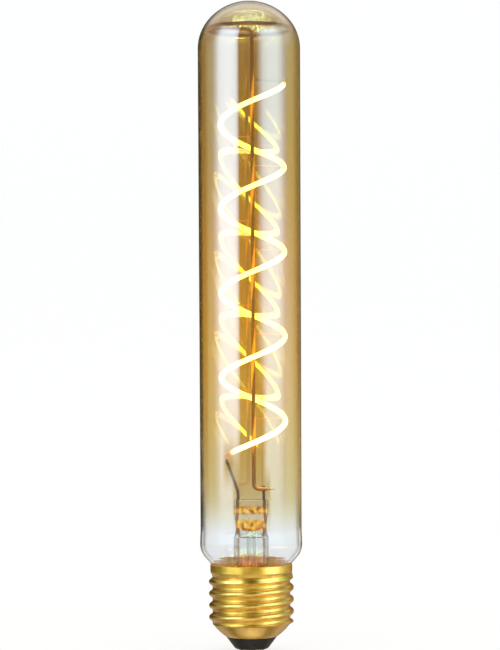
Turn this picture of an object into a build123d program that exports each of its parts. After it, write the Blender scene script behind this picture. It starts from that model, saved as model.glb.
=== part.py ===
from build123d import *
import os
from math import atan2, cos, degrees, pi, radians, sin, sqrt, tan

# Tubular filament lamp with a brass screw cap.
# Millimetres, +Z up along the lamp's axis, origin on the centre contact, front towards -Y.

# Overall
bulb_length = 200.0

# Glass envelope
tube_diameter = 31.1
tube_draft = 0.25
dome_side_inset = 2.25
dome_crown_rise = 1.1
glass_wall = 0.9
shoulder_swell = 0.15
shoulder_rise = 4.9
shoulder_radius = 5.9
shoulder_angle = 41.0
knee_radius = 1.5
neck_depth = 6.9
rim_clearance = 0.11

# Screw shell
thread_diameter = 26.1
thread_depth = 1.12
thread_pitch = 3.629
thread_crest_radius = 1.0
thread_bottom = 8.1
thread_top = 22.7
thread_fade_bottom = 0.8
thread_fade_top = 1.6
thread_turn_gap = 0.15
first_crest_height = 8.4
root_land = 0.03
shell_wall = 0.3
shell_edge_diameter = 15.6
bowl_height = 4.0
bowl_bulge = 0.27
collar_flare = 0.67
collar_height = 2.1
collar_taper = 1.6

# Insulator and centre contact
insulator_height = 4.22
insulator_plug_height = 2.0
insulator_plug_gap = 0.3
insulator_foot_diameter = 10.0
insulator_foot_rounding = 1.3
contact_diameter = 7.8
contact_thickness = 0.5
contact_rounding = 0.35
rivet_diameter = 2.4
rivet_rise = 1.0

# Stem
stem_wall = 0.9
stem_wire_clearance = 0.2
flare_height = 7.5
stem_length = 15.3
throat_rise = 3.8
throat_margin = 0.8
throat_thickness = 4.6
waist_rise = 4.5
waist_margin = 1.45
waist_thickness = 4.0
crown_rise = 3.3
crown_margin = 1.15
crown_thickness = 3.7
pinch_rounding = 1.7
loft_side_angle = 20.0
loft_corner_angle = 35.0
crown_rounding = 0.8
cavity_rise = 2.9
cavity_margin = 0.45
cavity_thickness = 3.4
cavity_rounding = 1.6
exhaust_diameter = 2.7
exhaust_bore = 1.6
exhaust_length = 17.0
exhaust_tip_length = 2.2
exhaust_tip_diameter = 1.0
exhaust_vent_rise = 2.9

# Leads
lead_spacing = 7.9
inner_lead_diameter = 0.9
inner_lead_seat = 3.2
seal_wire_diameter = 0.7
seal_wire_tail = 4.5
outer_lead_diameter = 0.5
inner_lead_rounding = 0.2
right_lead_rise = 4.1
left_lead_rise = 2.2
left_lead_bend = 3.0

# Support rod with its brace ring
rod_diameter = 1.2
rod_offset = 0.9
rod_bend_radius = 1.7
foot_rise = 3.1
foot_overhang = 3.3
foot_flat_length = 2.4
foot_flat_thickness = 0.5
brace_drop = 8.8
brace_bend_radius = 2.0
brace_gap_angle = 14.0

# Filament
filament_diameter = 1.9
filament_turns = 4.39
filament_standoff = 4.9
filament_lift = 14.1
filament_drop = 16.6
terminal_length = 2.4
terminal_width = 1.5
terminal_thickness = 0.6
terminal_rounding = 0.2
link_wire_diameter = 0.35
link_rise = 1.0
support_wire_diameter = 0.3
support_hook_clearance = 0.12
support_hook_sweep = 200.0
right_support_angle = 25.0
left_support_angle = 150.0

# Driver in the cap
board_edge_clearance = 0.83
board_thickness = 1.0
board_height = 9.6
board_hole_clearance = 0.05
wire_stub = 0.8
component_gap = 0.05
capacitor_diameter = 6.0
capacitor_length = 9.0
capacitor_place = (0.0, 4.7)
capacitor_lead_diameter = 0.5
capacitor_lead_spacing = 2.5
capacitor_lead_reach = 1.2
capacitor_rounding = 0.5
rectifier_size = (4.7, 3.8, 2.4)
rectifier_place = (-4.9, -5.0)
rectifier_legs_per_side = 2
rectifier_leg_pitch = 2.5
chip_size = (4.9, 3.9, 1.5)
chip_place = (4.9, -5.0)
chip_legs_per_side = 4
chip_leg_pitch = 1.27
leg_width = 0.4
leg_thickness = 0.25
leg_reach = 0.9
package_lift = 0.1
package_chamfer = 0.2
fuse_diameter = 2.0
fuse_length = 4.4
fuse_rounding = 0.5
fuse_place = (-7.2, 3.0)
fuse_span = 6.2
fuse_lead_diameter = 0.5
fuse_lift = 0.3
resistor_size = (1.25, 2.0, 0.55)
resistor_cap = 0.4
resistor_places = ((7.2, 1.6), (7.2, 4.2))
live_wire_diameter = 0.6
live_hole_offset = 3.5
neutral_wire_diameter = 0.6
neutral_hole_offset = 8.7
neutral_wire_rise = 2.0
internal_bend_radius = 0.6

# Fits
cement_thickness = 0.43
cement_height = 2.6
fit_clearance = 0.05
weld_gap = 0.02

# Screw shell, worked out
thread_radius = thread_diameter / 2
root_radius = thread_radius - thread_depth
shell_inner_radius = root_radius - shell_wall
collar_radius = root_radius + collar_flare
collar_inner_radius = collar_radius - shell_wall
shell_edge_radius = shell_edge_diameter / 2
shell_edge_height = insulator_height + fit_clearance
bowl_top = shell_edge_height + bowl_height
taper_bottom = thread_top
collar_bottom = taper_bottom + collar_taper
rim_height = collar_bottom + collar_height

# Envelope, worked out
neck_radius = shell_inner_radius - cement_thickness
neck_end = rim_height - neck_depth
foot_radius = tube_diameter / 2
tube_top_radius = foot_radius + tube_draft
shoulder_reach = foot_radius + shoulder_swell
shoulder_turn = radians(shoulder_angle)
shoulder_centre = shoulder_reach - shoulder_radius
cone_rim_radius = collar_inner_radius - rim_clearance
cone_top_radius = shoulder_centre + shoulder_radius * cos(shoulder_turn)
cone_top = rim_height + (cone_top_radius - cone_rim_radius) / tan(shoulder_turn)
shoulder_height = cone_top + shoulder_radius * sin(shoulder_turn)
foot_height = shoulder_height + shoulder_rise
dome_side_radius = tube_top_radius - dome_side_inset
dome_base = bulb_length - dome_side_radius - dome_crown_rise
dome_crown_radius = dome_side_radius + (dome_crown_rise + dome_side_inset**2 / dome_crown_rise) / 2
dome_crown_centre = bulb_length - dome_crown_radius
dome_side_turn = degrees(atan2(dome_base - dome_crown_centre, dome_side_inset))

# Stem, worked out
stem_inner_radius = (lead_spacing + seal_wire_diameter) / 2 + stem_wire_clearance
stem_radius = stem_inner_radius + stem_wall
throat_width = lead_spacing + 2 * throat_margin
waist_width = lead_spacing + 2 * waist_margin
crown_width = lead_spacing + 2 * crown_margin
cavity_width = lead_spacing + 2 * cavity_margin
flare_reach = neck_radius - glass_wall
lip_bottom = neck_end - stem_wall
flare_top = neck_end + flare_height
stem_top = neck_end + stem_length
throat_height = stem_top + throat_rise
waist_height = throat_height + waist_rise
pinch_top = waist_height + crown_rise
cavity_top = stem_top + cavity_rise
loft_face_angle = 180 - loft_side_angle - 2 * loft_corner_angle
vent_height = cavity_top + exhaust_vent_rise

# Leads, rod and filament, worked out
lead_place = lead_spacing / 2
lead_seat = pinch_top - inner_lead_seat
rod_radius = rod_diameter / 2
rod_depth = -(inner_lead_diameter / 2 + rod_radius + weld_gap)
foot_level = pinch_top + foot_rise
brace_height = bulb_length - brace_drop
brace_seat = dome_side_radius - glass_wall - fit_clearance - rod_radius
brace_radius = dome_side_inset + sqrt(brace_seat**2 - (brace_height - dome_base) ** 2)
brace_bend_depth = rod_depth - brace_bend_radius
brace_bend_place = -sqrt((brace_radius - brace_bend_radius) ** 2 - brace_bend_depth**2)
brace_start_angle = degrees(atan2(brace_bend_depth, brace_bend_place)) % 360
filament_radius = foot_radius - glass_wall - filament_standoff
filament_bottom = pinch_top + filament_lift
filament_top = brace_height - filament_drop
filament_height = filament_top - filament_bottom
filament_pitch = filament_height / filament_turns
filament_slope = filament_pitch / (2 * pi * filament_radius)
filament_axis = Axis((rod_offset, rod_depth, 0), (0, 0, 1))

# Driver, worked out
board_radius = shell_inner_radius - board_edge_clearance
board_top = board_height + board_thickness
wire_bottom = board_height - wire_stub
rivet_top = insulator_height + insulator_plug_height + rivet_rise

# Alignment of a solid that stands on, or hangs from, its location
standing = (Align.CENTER, Align.CENTER, Align.MIN)
hanging = (Align.CENTER, Align.CENTER, Align.MAX)

os.makedirs("parts", exist_ok=True)


# A round wire along a path
def round_wire(path, diameter):
    with BuildSketch(Plane(origin=path @ 0, z_dir=path % 0)) as section:
        Circle(diameter / 2)
    sweep(section.sketch, path=path)


# Half section of the envelope from the axis out, moved inwards by the inset
def envelope_section(inset):
    bend = shoulder_radius - inset
    neck = neck_radius - inset
    cone_rim = cone_rim_radius - inset / cos(shoulder_turn)
    knee_height = rim_height + (neck - cone_rim) / tan(shoulder_turn)
    cone_end = (shoulder_centre + bend * cos(shoulder_turn), shoulder_height - bend * sin(shoulder_turn))
    swell = (shoulder_reach - inset, shoulder_height)
    foot = (foot_radius - inset, foot_height)
    middle = ((swell[0] + foot[0]) / 2, (swell[1] + foot[1]) / 2)
    with BuildLine() as section:
        FilletPolyline((neck, neck_end), (neck, knee_height), cone_end, radius=knee_radius + inset)
        CenterArc((shoulder_centre, shoulder_height), bend, -shoulder_angle, shoulder_angle)
        lower_swell = TangentArc(swell, middle, tangent=(0, 1))
        TangentArc(middle, foot, tangent=lower_swell % 1)
        Line(foot, (tube_top_radius - inset, dome_base))
        CenterArc((dome_side_inset, dome_base), dome_side_radius - inset, 0, dome_side_turn)
        CenterArc((0, dome_crown_centre), dome_crown_radius - inset, dome_side_turn, 90 - dome_side_turn)
        Polyline((0, bulb_length - inset), (0, neck_end), (neck, neck_end))
    return section.edges()


# Circle in eight arcs, which meet the sides and corners of a rounded rectangle in a loft
def loft_circle(radius):
    start_angle = -loft_side_angle / 2
    with BuildLine() as outline:
        for arc_angle in (loft_side_angle, loft_corner_angle, loft_face_angle, loft_corner_angle) * 2:
            CenterArc((0, 0), radius, start_angle, arc_angle)
            start_angle += arc_angle
    return outline.edges()


# Glass envelope: dome, drawn tube, swollen shoulder and neck in one blown wall
with BuildPart() as glass_envelope:
    with BuildSketch(Plane.XZ):
        make_face(envelope_section(0))
        make_face(envelope_section(glass_wall), mode=Mode.SUBTRACT)
    revolve(axis=Axis.Z)
glass_envelope.part.label = "glass_envelope"
export_step(glass_envelope.part, "parts/glass_envelope.step")

# Stem: flare, tube and flat pinch of solid glass round the two seal wires
outer_flare = (flare_reach - stem_radius, flare_height)
inner_flare = (flare_reach - stem_inner_radius, flare_height + stem_wall)
with BuildPart() as stem_glass:
    with BuildSketch(Plane.XY.offset(stem_top)):
        make_face(loft_circle(stem_radius))
    with BuildSketch(Plane.XY.offset(throat_height)):
        RectangleRounded(throat_width, throat_thickness, pinch_rounding)
    with BuildSketch(Plane.XY.offset(waist_height)):
        RectangleRounded(waist_width, waist_thickness, pinch_rounding)
    with BuildSketch(Plane.XY.offset(pinch_top)):
        RectangleRounded(crown_width, crown_thickness, pinch_rounding)
    loft()
    fillet(stem_glass.faces().sort_by(Axis.Z)[-1].edges(), crown_rounding)
    with BuildSketch(Plane.XZ):
        with BuildLine():
            Polyline((stem_inner_radius, flare_top), (stem_inner_radius, stem_top), (stem_radius, stem_top))
            Line((stem_radius, stem_top), (stem_radius, flare_top))
            EllipticalCenterArc((flare_reach, flare_top), *outer_flare, 180, arc_size=90)
            Polyline(
                (flare_reach, neck_end),
                (neck_radius, neck_end),
                (neck_radius, lip_bottom),
                (flare_reach, lip_bottom),
            )
            EllipticalCenterArc((flare_reach, flare_top), *inner_flare, 180, arc_size=90)
        make_face()
    revolve(axis=Axis.Z)
    with BuildSketch(Plane.XY.offset(stem_top)):
        make_face(loft_circle(stem_inner_radius))
    with BuildSketch(Plane.XY.offset(cavity_top)):
        RectangleRounded(cavity_width, cavity_thickness, cavity_rounding)
    loft(mode=Mode.SUBTRACT)
    with Locations((0, 0, cavity_top)):
        Cylinder(exhaust_bore / 2, exhaust_vent_rise, align=standing, mode=Mode.SUBTRACT)
    with BuildSketch(Plane.XZ):
        with Locations((0, vent_height)):
            Circle(exhaust_bore / 2)
    extrude(amount=stem_radius, mode=Mode.SUBTRACT)
    for side in (-1, 1):
        with Locations((side * lead_place, 0, lead_seat)):
            Cylinder(
                inner_lead_diameter / 2 + weld_gap,
                inner_lead_seat,
                align=standing,
                mode=Mode.SUBTRACT,
            )
            Cylinder(
                seal_wire_diameter / 2 + weld_gap,
                lead_seat - cavity_top,
                align=hanging,
                mode=Mode.SUBTRACT,
            )
stem_glass.part.label = "stem_glass"
export_step(stem_glass.part, "parts/stem_glass.step")

# Exhaust tube: hangs from the pinch down the middle of the stem and is tipped off at its lower end
exhaust_bottom = cavity_top - exhaust_length
exhaust_wall = (exhaust_diameter - exhaust_bore) / 2
tip_shoulder = exhaust_bottom + exhaust_tip_length
with BuildPart() as exhaust_tube:
    with BuildSketch(Plane.XZ):
        with BuildLine():
            Polyline(
                (0, exhaust_bottom),
                (exhaust_tip_diameter / 2, exhaust_bottom),
                (exhaust_diameter / 2, tip_shoulder),
                (exhaust_diameter / 2, cavity_top),
                (exhaust_bore / 2, cavity_top),
                (exhaust_bore / 2, tip_shoulder + exhaust_wall),
                (0, exhaust_bottom + exhaust_wall),
                close=True,
            )
        make_face()
    revolve(axis=Axis.Z)
exhaust_tube.part.label = "exhaust_tube"
export_step(exhaust_tube.part, "parts/exhaust_tube.step")

# Filament: one flexible strand in a right-handed spiral that ends on the +X side at the top
with BuildLine() as spiral_path:
    Helix(filament_pitch, filament_height, filament_radius, center=(rod_offset, rod_depth, filament_bottom))
spiral = spiral_path.edge().rotate(filament_axis, -360 * filament_turns)
with BuildPart() as led_filament:
    with BuildSketch(Plane(origin=spiral @ 0, z_dir=spiral % 0)):
        Circle(filament_diameter / 2)
    sweep(path=spiral, is_frenet=True)
led_filament.part.label = "led_filament"
export_step(led_filament.part, "parts/led_filament.step")

# Filament terminals: flat tabs that carry on from the two ends of the strand
lower_outward = Vector(1, 0, 0).rotate(Axis.Z, -360 * filament_turns)
lower_start = spiral @ 0 - (spiral % 0) * weld_gap
lower_tab_plane = Plane(origin=lower_start, x_dir=lower_outward, z_dir=-(spiral % 0))
upper_start = spiral @ 1 + (spiral % 1) * weld_gap
upper_tab_plane = Plane(origin=upper_start, x_dir=(1, 0, 0), z_dir=spiral % 1)
for tab_name, tab_plane in (("lower", lower_tab_plane), ("upper", upper_tab_plane)):
    with BuildPart() as terminal:
        with BuildSketch(tab_plane):
            RectangleRounded(terminal_thickness, terminal_width, terminal_rounding)
        extrude(amount=terminal_length)
    terminal.part.label = f"{tab_name}_filament_terminal"
    export_step(terminal.part, f"parts/{tab_name}_filament_terminal.step")
lower_tab_middle = lower_start - (spiral % 0) * (terminal_length / 2)
upper_tab_middle = upper_start + (spiral % 1) * (terminal_length / 2)

# Left inner lead: out of the pinch, then leaning to the front up to the lower terminal
tab_clearance = terminal_width / 2 * sqrt(1 + filament_slope**2) + inner_lead_diameter / 2 + fit_clearance
with BuildLine() as left_lead_path:
    FilletPolyline(
        (-lead_place, 0, lead_seat),
        (-lead_place, 0, pinch_top + left_lead_rise),
        lower_tab_middle - Vector(0, 0, tab_clearance),
        radius=left_lead_bend,
    )
with BuildPart() as left_inner_lead:
    round_wire(left_lead_path.line, inner_lead_diameter)
left_inner_lead.part.label = "left_inner_lead"
export_step(left_inner_lead.part, "parts/left_inner_lead.step")

# Right inner lead: a straight post with the foot of the support rod welded across its front
with BuildPart() as right_inner_lead:
    with Locations((lead_place, 0, lead_seat)):
        Cylinder(
            inner_lead_diameter / 2,
            pinch_top + right_lead_rise - lead_seat,
            align=standing,
        )
    fillet(right_inner_lead.faces().sort_by(Axis.Z)[-1].edges(), inner_lead_rounding)
right_inner_lead.part.label = "right_inner_lead"
export_step(right_inner_lead.part, "parts/right_inner_lead.step")

# Seal wires in the pinch and outer leads down to the driver board, one of each on either side
seal_bottom = cavity_top - seal_wire_tail
for side_name, side in (("left", -1), ("right", 1)):
    with BuildPart() as seal_wire:
        with Locations((side * lead_place, 0, lead_seat - weld_gap)):
            Cylinder(
                seal_wire_diameter / 2,
                lead_seat - weld_gap - seal_bottom,
                align=hanging,
            )
    seal_wire.part.label = f"{side_name}_seal_wire"
    export_step(seal_wire.part, f"parts/{side_name}_seal_wire.step")
    with BuildPart() as outer_lead:
        with Locations((side * lead_place, 0, seal_bottom - weld_gap)):
            Cylinder(
                outer_lead_diameter / 2,
                seal_bottom - weld_gap - wire_bottom,
                align=hanging,
            )
    outer_lead.part.label = f"{side_name}_outer_lead"
    export_step(outer_lead.part, f"parts/{side_name}_outer_lead.step")

# Support rod: foot, upright, arm and brace ring bent from one wire
foot_end = (lead_place + foot_overhang, rod_depth, foot_level)
brace_bend_centre = (brace_bend_place, brace_bend_depth, brace_height)
brace_sweep = 540 - brace_gap_angle - brace_start_angle
with BuildLine() as rod_path:
    FilletPolyline(
        foot_end,
        (rod_offset, rod_depth, foot_level),
        (rod_offset, rod_depth, brace_height),
        (brace_bend_place, rod_depth, brace_height),
        radius=rod_bend_radius,
    )
    CenterArc(brace_bend_centre, brace_bend_radius, 90, brace_start_angle - 90)
    CenterArc((0, 0, brace_height), brace_radius, brace_start_angle, brace_sweep)
with BuildPart() as support_rod:
    with BuildSketch(Plane(origin=foot_end, z_dir=(-1, 0, 0))):
        Circle(rod_radius)
    sweep(path=rod_path.line)
    flat_relief = (foot_flat_length, rod_diameter, rod_diameter)
    for face_side in (-1, 1):
        flat_level = foot_level + face_side * (foot_flat_thickness + rod_diameter) / 2
        with Locations((foot_end[0] - foot_flat_length / 2, rod_depth, flat_level)):
            Box(*flat_relief, mode=Mode.SUBTRACT)
support_rod.part.label = "support_rod"
export_step(support_rod.part, "parts/support_rod.step")

# Link wire: from the rod to the inner face of the upper terminal
link_start = Vector(rod_offset, rod_depth, filament_top + link_rise)
link_end = upper_tab_middle - Vector(terminal_thickness / 2, 0, 0)
link_direction = (link_end - link_start).normalized()
with BuildLine() as link_path:
    Line(
        link_start + link_direction * (rod_radius + link_wire_diameter / 2),
        link_end - link_direction * link_wire_diameter / 2,
    )
with BuildPart() as upper_link_wire:
    round_wire(link_path.line, link_wire_diameter)
upper_link_wire.part.label = "upper_link_wire"
export_step(upper_link_wire.part, "parts/upper_link_wire.step")

# Filament supports: thin wires from the rod that end in open hooks under the strand, two for each full turn
hook_radius = (
    filament_diameter / 2 * sqrt(1 + filament_slope**2) + support_wire_diameter / 2 + support_hook_clearance
)
support_number = 0
for turn in range(int(filament_turns)):
    for support_angle in (left_support_angle, right_support_angle):
        support_number += 1
        strand_height = filament_top - filament_pitch * (turn + 1 - support_angle / 360)
        outward = Vector(1, 0, 0).rotate(Axis.Z, support_angle)
        support_plane = Plane(
            origin=(rod_offset, rod_depth, strand_height), x_dir=outward, z_dir=outward.cross(Vector(0, 0, 1))
        )
        with BuildLine(support_plane) as support_path:
            Line((rod_radius + weld_gap, -hook_radius), (filament_radius, -hook_radius))
            CenterArc((filament_radius, 0), hook_radius, -90, support_hook_sweep)
        with BuildPart() as support:
            with BuildSketch(Plane(origin=support_path.line @ 0, z_dir=outward)):
                Circle(support_wire_diameter / 2)
            sweep(path=support_path.line)
        support.part.label = f"filament_support_{support_number}"
        export_step(support.part, f"parts/filament_support_{support_number}.step")

# Thread ridge: crest and root arcs that meet tangentially, swept up a right-handed helix,
# with both ends of the ridge faded out
crest_centre = thread_radius - thread_crest_radius
root_bottom = root_radius - root_land
crest_offset = crest_centre - root_bottom
half_pitch = thread_pitch / 2
root_arc_radius = (crest_offset**2 + half_pitch**2 - thread_crest_radius**2) / (
    2 * (thread_crest_radius + crest_offset)
)
crest_share = thread_crest_radius / (thread_crest_radius + root_arc_radius)
flank_radius = crest_centre + crest_share * (root_arc_radius - crest_offset)
flank_rise = crest_share * half_pitch
ridge_half_width = half_pitch - thread_turn_gap
ridge_edge = root_bottom + root_arc_radius - sqrt(root_arc_radius**2 - thread_turn_gap**2)
ridge_base = shell_inner_radius + weld_gap
helix_start = first_crest_height - thread_pitch
helix_height = collar_bottom + half_pitch - helix_start
with BuildLine() as thread_path:
    Helix(thread_pitch, helix_height, root_radius, center=(0, 0, helix_start))
with BuildPart() as thread_ridge:
    with BuildSketch(Plane.XZ.shift_origin((0, 0, helix_start))):
        with BuildLine():
            crest = ThreePointArc((flank_radius, -flank_rise), (thread_radius, 0), (flank_radius, flank_rise))
            TangentArc((flank_radius, flank_rise), (ridge_edge, ridge_half_width), tangent=crest % 1)
            TangentArc((flank_radius, -flank_rise), (ridge_edge, -ridge_half_width), tangent=-(crest % 0))
            Polyline(
                (ridge_edge, ridge_half_width),
                (ridge_base, ridge_half_width),
                (ridge_base, -ridge_half_width),
                (ridge_edge, -ridge_half_width),
            )
        make_face()
    sweep(path=thread_path.line, is_frenet=True)
    with BuildSketch(Plane.XZ):
        with BuildLine():
            Polyline(
                (shell_inner_radius, thread_bottom),
                (root_radius, thread_bottom),
                (thread_radius + weld_gap, thread_bottom + thread_fade_bottom),
                (thread_radius + weld_gap, thread_top - thread_fade_top),
                (collar_radius - shell_wall / 2, collar_bottom),
                (root_radius - shell_wall / 2, thread_top),
                (shell_inner_radius, thread_top),
                close=True,
            )
        make_face()
    revolve(axis=Axis.Z, mode=Mode.INTERSECT)

# Screw shell: drawn brass with a straight collar, the rolled thread and a bowl down to the insulator
with BuildPart() as screw_shell:
    with BuildSketch(Plane.XZ):
        with BuildLine():
            Polyline(
                (collar_radius, rim_height),
                (collar_radius, collar_bottom),
                (root_radius, taper_bottom),
                (root_radius, bowl_top),
            )
            SagittaArc((root_radius, bowl_top), (shell_edge_radius, shell_edge_height), bowl_bulge)
            offset(amount=shell_wall, side=Side.RIGHT)
        make_face()
    revolve(axis=Axis.Z)
    add(thread_ridge.part)
screw_shell.part.label = "screw_shell"
export_step(screw_shell.part, "parts/screw_shell.step")

# Insulator: black glass cone with a plug inside the shell and a hole for the contact rivet
plug_radius = shell_edge_radius - shell_wall - insulator_plug_gap
plug_top = insulator_height + insulator_plug_height
rivet_hole_radius = rivet_diameter / 2 + fit_clearance
with BuildPart() as cap_insulator:
    with BuildSketch(Plane.XZ):
        with BuildLine():
            Polyline(
                (rivet_hole_radius, plug_top),
                (plug_radius, plug_top),
                (plug_radius, insulator_height),
                (shell_edge_radius, insulator_height),
                (insulator_foot_diameter / 2, contact_thickness),
                (rivet_hole_radius, contact_thickness),
                close=True,
            )
        make_face()
    revolve(axis=Axis.Z)
    foot_edges = cap_insulator.edges().filter_by(GeomType.CIRCLE).group_by(Axis.Z)[0]
    fillet(foot_edges.sort_by(SortBy.RADIUS)[-1], insulator_foot_rounding)
cap_insulator.part.label = "cap_insulator"
export_step(cap_insulator.part, "parts/cap_insulator.step")

# Centre contact: a rivet with a wide flat head on the end of the insulator
with BuildPart() as centre_contact:
    Cylinder(contact_diameter / 2, contact_thickness, align=standing)
    fillet(centre_contact.faces().sort_by(Axis.Z)[0].edges(), contact_rounding)
    with Locations((0, 0, contact_thickness)):
        Cylinder(rivet_diameter / 2, rivet_top - contact_thickness, align=standing)
centre_contact.part.label = "centre_contact"
export_step(centre_contact.part, "parts/centre_contact.step")

# Basing cement: a ring between the glass neck and the shell
with BuildPart() as basing_cement:
    with BuildSketch(Plane.XY.offset(neck_end)):
        Circle(shell_inner_radius - weld_gap)
        Circle(neck_radius + weld_gap, mode=Mode.SUBTRACT)
    extrude(amount=cement_height)
basing_cement.part.label = "basing_cement"
export_step(basing_cement.part, "parts/basing_cement.step")

# Driver board: round, with a hole for each wire that passes through it
capacitor_lead_place = capacitor_place[0] + capacitor_length / 2 + capacitor_lead_reach
board_holes = (
    (-lead_place, 0, outer_lead_diameter),
    (lead_place, 0, outer_lead_diameter),
    (0, -live_hole_offset, live_wire_diameter),
    (0, neutral_hole_offset, neutral_wire_diameter),
    (capacitor_lead_place, capacitor_place[1] - capacitor_lead_spacing / 2, capacitor_lead_diameter),
    (capacitor_lead_place, capacitor_place[1] + capacitor_lead_spacing / 2, capacitor_lead_diameter),
    (fuse_place[0], fuse_place[1] - fuse_span / 2, fuse_lead_diameter),
    (fuse_place[0], fuse_place[1] + fuse_span / 2, fuse_lead_diameter),
)
with BuildPart() as driver_board:
    with BuildSketch(Plane.XY.offset(board_height)):
        Circle(board_radius)
        for hole_x, hole_y, wire_diameter in board_holes:
            with Locations((hole_x, hole_y)):
                Circle(wire_diameter / 2 + board_hole_clearance, mode=Mode.SUBTRACT)
    extrude(amount=board_thickness)
driver_board.part.label = "driver_board"
export_step(driver_board.part, "parts/driver_board.step")


# A moulded package with bent legs along its two long sides
def leg_package(size, place, leg_count, leg_pitch):
    with Locations((*place, board_top + package_lift)):
        Box(*size, align=standing)
    chamfer(faces().sort_by(Axis.Z)[-1].edges(), package_chamfer)
    leg_bottom = board_top + weld_gap
    leg_rise = package_lift + size[2] / 2 - weld_gap
    for side in (-1, 1):
        for leg in range(leg_count):
            leg_x = place[0] + (leg - (leg_count - 1) / 2) * leg_pitch
            wall_y = place[1] + side * size[1] / 2
            with Locations((leg_x, wall_y, leg_bottom)):
                Box(leg_width, 2 * leg_thickness, leg_rise, align=standing)
            with Locations((leg_x, wall_y + side * leg_reach / 2, leg_bottom)):
                Box(leg_width, leg_reach, leg_thickness, align=standing)


with BuildPart() as bridge_rectifier:
    leg_package(rectifier_size, rectifier_place, rectifier_legs_per_side, rectifier_leg_pitch)
bridge_rectifier.part.label = "bridge_rectifier"
export_step(bridge_rectifier.part, "parts/bridge_rectifier.step")

with BuildPart() as driver_chip:
    leg_package(chip_size, chip_place, chip_legs_per_side, chip_leg_pitch)
driver_chip.part.label = "driver_chip"
export_step(driver_chip.part, "parts/driver_chip.step")

# Smoothing capacitor: a can lying on the board with both leads bent down through it
capacitor_axis_height = board_top + component_gap + capacitor_diameter / 2
capacitor_end = capacitor_place[0] + capacitor_length / 2
with BuildPart() as smoothing_capacitor:
    with BuildSketch(Plane.YZ.offset(capacitor_place[0] - capacitor_length / 2)):
        with Locations((capacitor_place[1], capacitor_axis_height)):
            Circle(capacitor_diameter / 2)
    extrude(amount=capacitor_length)
    fillet(smoothing_capacitor.edges(), capacitor_rounding)
    for side in (-1, 1):
        lead_y = capacitor_place[1] + side * capacitor_lead_spacing / 2
        with BuildLine() as capacitor_lead_path:
            FilletPolyline(
                (capacitor_end - capacitor_rounding, lead_y, capacitor_axis_height),
                (capacitor_lead_place, lead_y, capacitor_axis_height),
                (capacitor_lead_place, lead_y, wire_bottom),
                radius=internal_bend_radius,
            )
        round_wire(capacitor_lead_path.line, capacitor_lead_diameter)
smoothing_capacitor.part.label = "smoothing_capacitor"
export_step(smoothing_capacitor.part, "parts/smoothing_capacitor.step")

# Fuse resistor: a rounded body with a lead bent down at each end
fuse_axis_height = board_top + fuse_lift + fuse_diameter / 2
with BuildPart() as fuse_resistor:
    with BuildSketch(Plane.XZ.offset(-fuse_place[1] - fuse_length / 2)):
        with Locations((fuse_place[0], fuse_axis_height)):
            Circle(fuse_diameter / 2)
    extrude(amount=fuse_length)
    fillet(fuse_resistor.edges(), fuse_rounding)
    for side in (-1, 1):
        with BuildLine() as fuse_lead_path:
            FilletPolyline(
                (fuse_place[0], fuse_place[1] + side * (fuse_length / 2 - fuse_rounding), fuse_axis_height),
                (fuse_place[0], fuse_place[1] + side * fuse_span / 2, fuse_axis_height),
                (fuse_place[0], fuse_place[1] + side * fuse_span / 2, wire_bottom),
                radius=internal_bend_radius,
            )
        round_wire(fuse_lead_path.line, fuse_lead_diameter)
fuse_resistor.part.label = "fuse_resistor"
export_step(fuse_resistor.part, "parts/fuse_resistor.step")

# Sense resistors: flat chips with a metal cap at each end
for resistor_number, resistor_place in enumerate(resistor_places, 1):
    with BuildPart() as sense_resistor:
        with Locations((*resistor_place, board_top + component_gap)):
            Box(*resistor_size, align=standing)
            with GridLocations(0, resistor_size[1] - resistor_cap, 1, 2):
                Box(
                    resistor_size[0] + component_gap,
                    resistor_cap + component_gap,
                    resistor_size[2] + component_gap,
                    align=standing,
                )
    sense_resistor.part.label = f"sense_resistor_{resistor_number}"
    export_step(sense_resistor.part, f"parts/sense_resistor_{resistor_number}.step")

# Live wire: from the contact rivet up through the board
live_turn_height = (rivet_top + board_height) / 2
with BuildLine() as live_path:
    FilletPolyline(
        (0, 0, rivet_top + weld_gap),
        (0, 0, live_turn_height),
        (0, -live_hole_offset, live_turn_height),
        (0, -live_hole_offset, board_top + wire_stub),
        radius=internal_bend_radius,
    )
with BuildPart() as live_wire:
    round_wire(live_path.line, live_wire_diameter)
live_wire.part.label = "live_wire"
export_step(live_wire.part, "parts/live_wire.step")

# Neutral wire: from the board out to the inside of the shell
with BuildLine() as neutral_path:
    FilletPolyline(
        (0, neutral_hole_offset, wire_bottom),
        (0, neutral_hole_offset, board_top + neutral_wire_rise),
        (0, shell_inner_radius - weld_gap, board_top + neutral_wire_rise),
        radius=internal_bend_radius,
    )
with BuildPart() as neutral_wire:
    round_wire(neutral_path.line, neutral_wire_diameter)
neutral_wire.part.label = "neutral_wire"
export_step(neutral_wire.part, "parts/neutral_wire.step")
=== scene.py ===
import math
import bmesh
import bpy
from mathutils import Matrix, Vector, noise


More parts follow.
